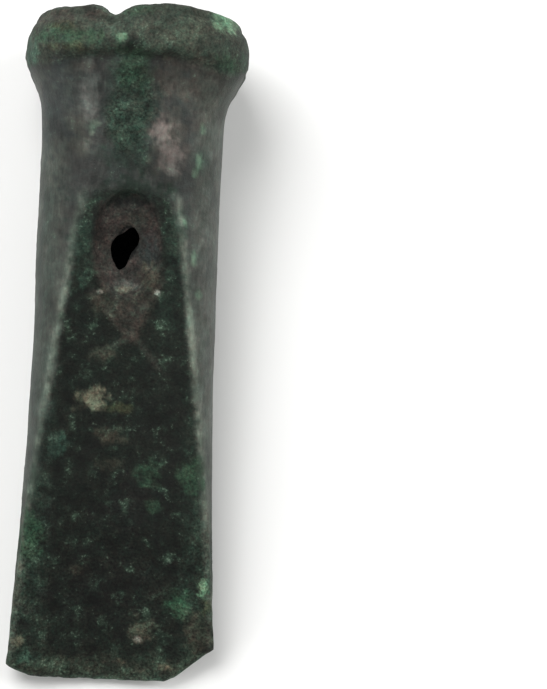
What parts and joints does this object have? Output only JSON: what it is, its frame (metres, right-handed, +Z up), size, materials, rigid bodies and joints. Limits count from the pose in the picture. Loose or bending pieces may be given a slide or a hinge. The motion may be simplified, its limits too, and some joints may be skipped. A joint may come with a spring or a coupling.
{
  "type": "bronze socketed gouge",
  "caption": "Ancient cast bronze gouge: collared socket for a haft, arched facets, pierced dimple, shallow hollow front and a curved, chipped cutting edge.",
  "frame": {"origin": "centre of the outer box on the surface that the gouge lies on", "axes": "+Z up out of the pierced front, +Y towards the socket's mouth, +X to the right of the front with the mouth up"},
  "size_m": [0.0396, 0.1176, 0.0353],
  "materials": {
    "patinated_bronze": "corroded bronze: dark green to black patina with verdigris, rough, bare grey-brown metal at the neck and sides"
  },
  "bodies": {
    "root": {"gouge": "patinated_bronze"}
  },
  "joints": []
}
